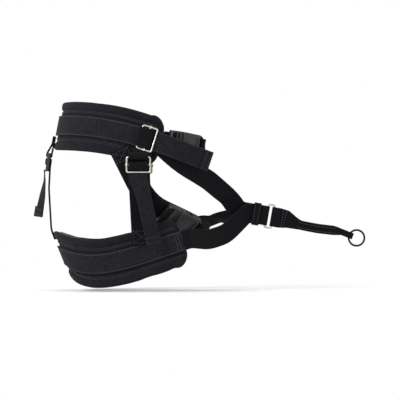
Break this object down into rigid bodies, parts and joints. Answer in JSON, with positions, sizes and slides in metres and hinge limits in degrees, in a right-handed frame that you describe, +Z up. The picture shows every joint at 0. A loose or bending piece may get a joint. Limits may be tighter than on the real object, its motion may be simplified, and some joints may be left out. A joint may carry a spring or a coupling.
{
  "type": "head halter",
  "caption": "Padded head halter: an upper and a lower band joined by adjustable straps, with side-release buckles and pull straps meeting in a leading strap with a ring",
  "frame": {"origin": "The middle of the wearer's head between the two bands, on the halter's middle plane", "axes": "+X forward to the lead ring, +Z up, +Y to the halter's left"},
  "size_m": [0.4208, 0.2108, 0.235],
  "materials": {
    "pad_fabric": "padded charcoal fabric, matt, with stitched channels",
    "lining_fabric": "soft matt lining",
    "webbing": "woven flat webbing, matt",
    "nickel_wire": "nickel-plated steel wire, bright",
    "ring_steel": "black-finished steel",
    "buckle_plastic": "moulded black acetal, slight sheen"
  },
  "bodies": {
    "halter": {"upper_pad": "pad_fabric", "upper_pad_lining": "lining_fabric", "upper_pad_webbing": "webbing", "lower_pad": "pad_fabric", "lower_pad_lining": "lining_fabric", "lower_pad_webbing": "webbing", "right_side_slider": "nickel_wire", "left_side_slider": "nickel_wire", "right_side_loop": "webbing", "left_side_loop": "webbing", "right_side_strap": "webbing", "left_side_strap": "webbing", "rear_ladderlock": "buckle_plastic", "rear_loop": "webbing", "rear_strap": "webbing", "right_pull_slider": "nickel_wire", "left_pull_slider": "nickel_wire", "right_upper_pull_strap": "webbing", "left_upper_pull_strap": "webbing", "right_lower_pull_strap": "webbing", "left_lower_pull_strap": "webbing", "junction_loop": "webbing", "junction_keeper": "webbing", "brow_buckle_socket": "buckle_plastic", "brow_buckle_tongue": "buckle_plastic", "brow_strap_right": "webbing", "brow_strap_left": "webbing", "throat_buckle_socket": "buckle_plastic", "throat_buckle_tongue": "buckle_plastic", "throat_strap_right": "webbing", "throat_strap_left": "webbing"},
    "square_ring": {"square_ring": "nickel_wire"},
    "lead_strap": {"lead_strap": "webbing"},
    "lead_ring": {"lead_ring": "ring_steel"},
    "rear_tail": {"rear_tail": "webbing"},
    "right_side_tail": {"right_side_tail": "webbing"},
    "left_side_tail": {"left_side_tail": "webbing"},
    "right_pull_tail": {"right_pull_tail": "webbing"},
    "left_pull_tail": {"left_pull_tail": "webbing"},
    "brow_upper_arm": {"brow_buckle_upper_arm": "buckle_plastic"},
    "brow_lower_arm": {"brow_buckle_lower_arm": "buckle_plastic"},
    "throat_upper_arm": {"throat_buckle_upper_arm": "buckle_plastic"},
    "throat_lower_arm": {"throat_buckle_lower_arm": "buckle_plastic"}
  },
  "joints": [
    {"name": "square_ring_swing", "type": "hinge", "parent": "halter", "child": "square_ring", "pos_m": [0.17152, 0, -0.02611], "axis": [0.1701, 0, 0.9854], "range_deg": [-45, 45]},
    {"name": "lead_strap_swing", "type": "hinge", "parent": "square_ring", "child": "lead_strap", "pos_m": [0.18058, 0, -0.02768], "axis": [0.1701, 0, 0.9854], "range_deg": [-75, 75]},
    {"name": "lead_ring_swing", "type": "hinge", "parent": "lead_strap", "child": "lead_ring", "pos_m": [0.27721, 0, -0.0507], "axis": [0.3697, 0, 0.9292], "range_deg": [-80, 80]},
    {"name": "rear_tail_lift", "type": "hinge", "parent": "halter", "child": "rear_tail", "pos_m": [-0.11005, 0, 0.03217], "axis": [0, 1, 0], "range_deg": [0, 70]},
    {"name": "right_side_tail_lift", "type": "hinge", "parent": "halter", "child": "right_side_tail", "pos_m": [0.0105, -0.0876, 0.02657], "axis": [-1, 0, 0], "range_deg": [0, 50]},
    {"name": "left_side_tail_lift", "type": "hinge", "parent": "halter", "child": "left_side_tail", "pos_m": [0.0105, 0.0876, 0.02657], "axis": [1, 0, 0], "range_deg": [0, 50]},
    {"name": "right_pull_tail_lift", "type": "hinge", "parent": "halter", "child": "right_pull_tail", "pos_m": [0.0322, -0.08609, 0.06712], "axis": [-0.3011, 0, -0.9536], "range_deg": [0, 45]},
    {"name": "left_pull_tail_lift", "type": "hinge", "parent": "halter", "child": "left_pull_tail", "pos_m": [0.0322, 0.08609, 0.06712], "axis": [0.3011, 0, 0.9536], "range_deg": [0, 45]},
    {"name": "brow_upper_arm_squeeze", "type": "hinge", "parent": "halter", "child": "brow_upper_arm", "pos_m": [0.0647, -0.057, 0.07427], "axis": [-0.7343, 0.6666, 0.1281], "range_deg": [0, 9], "stiffness_Nm_per_rad": 0.05},
    {"name": "brow_lower_arm_squeeze", "type": "hinge", "parent": "halter", "child": "brow_lower_arm", "pos_m": [0.06087, -0.05721, 0.05342], "axis": [0.7343, -0.6666, -0.1281], "range_deg": [0, 9], "stiffness_Nm_per_rad": 0.05},
    {"name": "throat_upper_arm_squeeze", "type": "hinge", "parent": "halter", "child": "throat_upper_arm", "pos_m": [0.06272, -0.06202, -0.02309], "axis": [-0.3181, 0.7195, 0.6173], "range_deg": [0, 9], "stiffness_Nm_per_rad": 0.05},
    {"name": "throat_lower_arm_squeeze", "type": "hinge", "parent": "halter", "child": "throat_lower_arm", "pos_m": [0.04893, -0.05549, -0.0378], "axis": [0.3181, -0.7195, -0.6173], "range_deg": [0, 9], "stiffness_Nm_per_rad": 0.05}
  ],
  "couplings": [
    {"joint": "brow_lower_arm_squeeze", "follows": "brow_upper_arm_squeeze", "ratio": 1},
    {"joint": "throat_lower_arm_squeeze", "follows": "throat_upper_arm_squeeze", "ratio": 1}
  ]
}
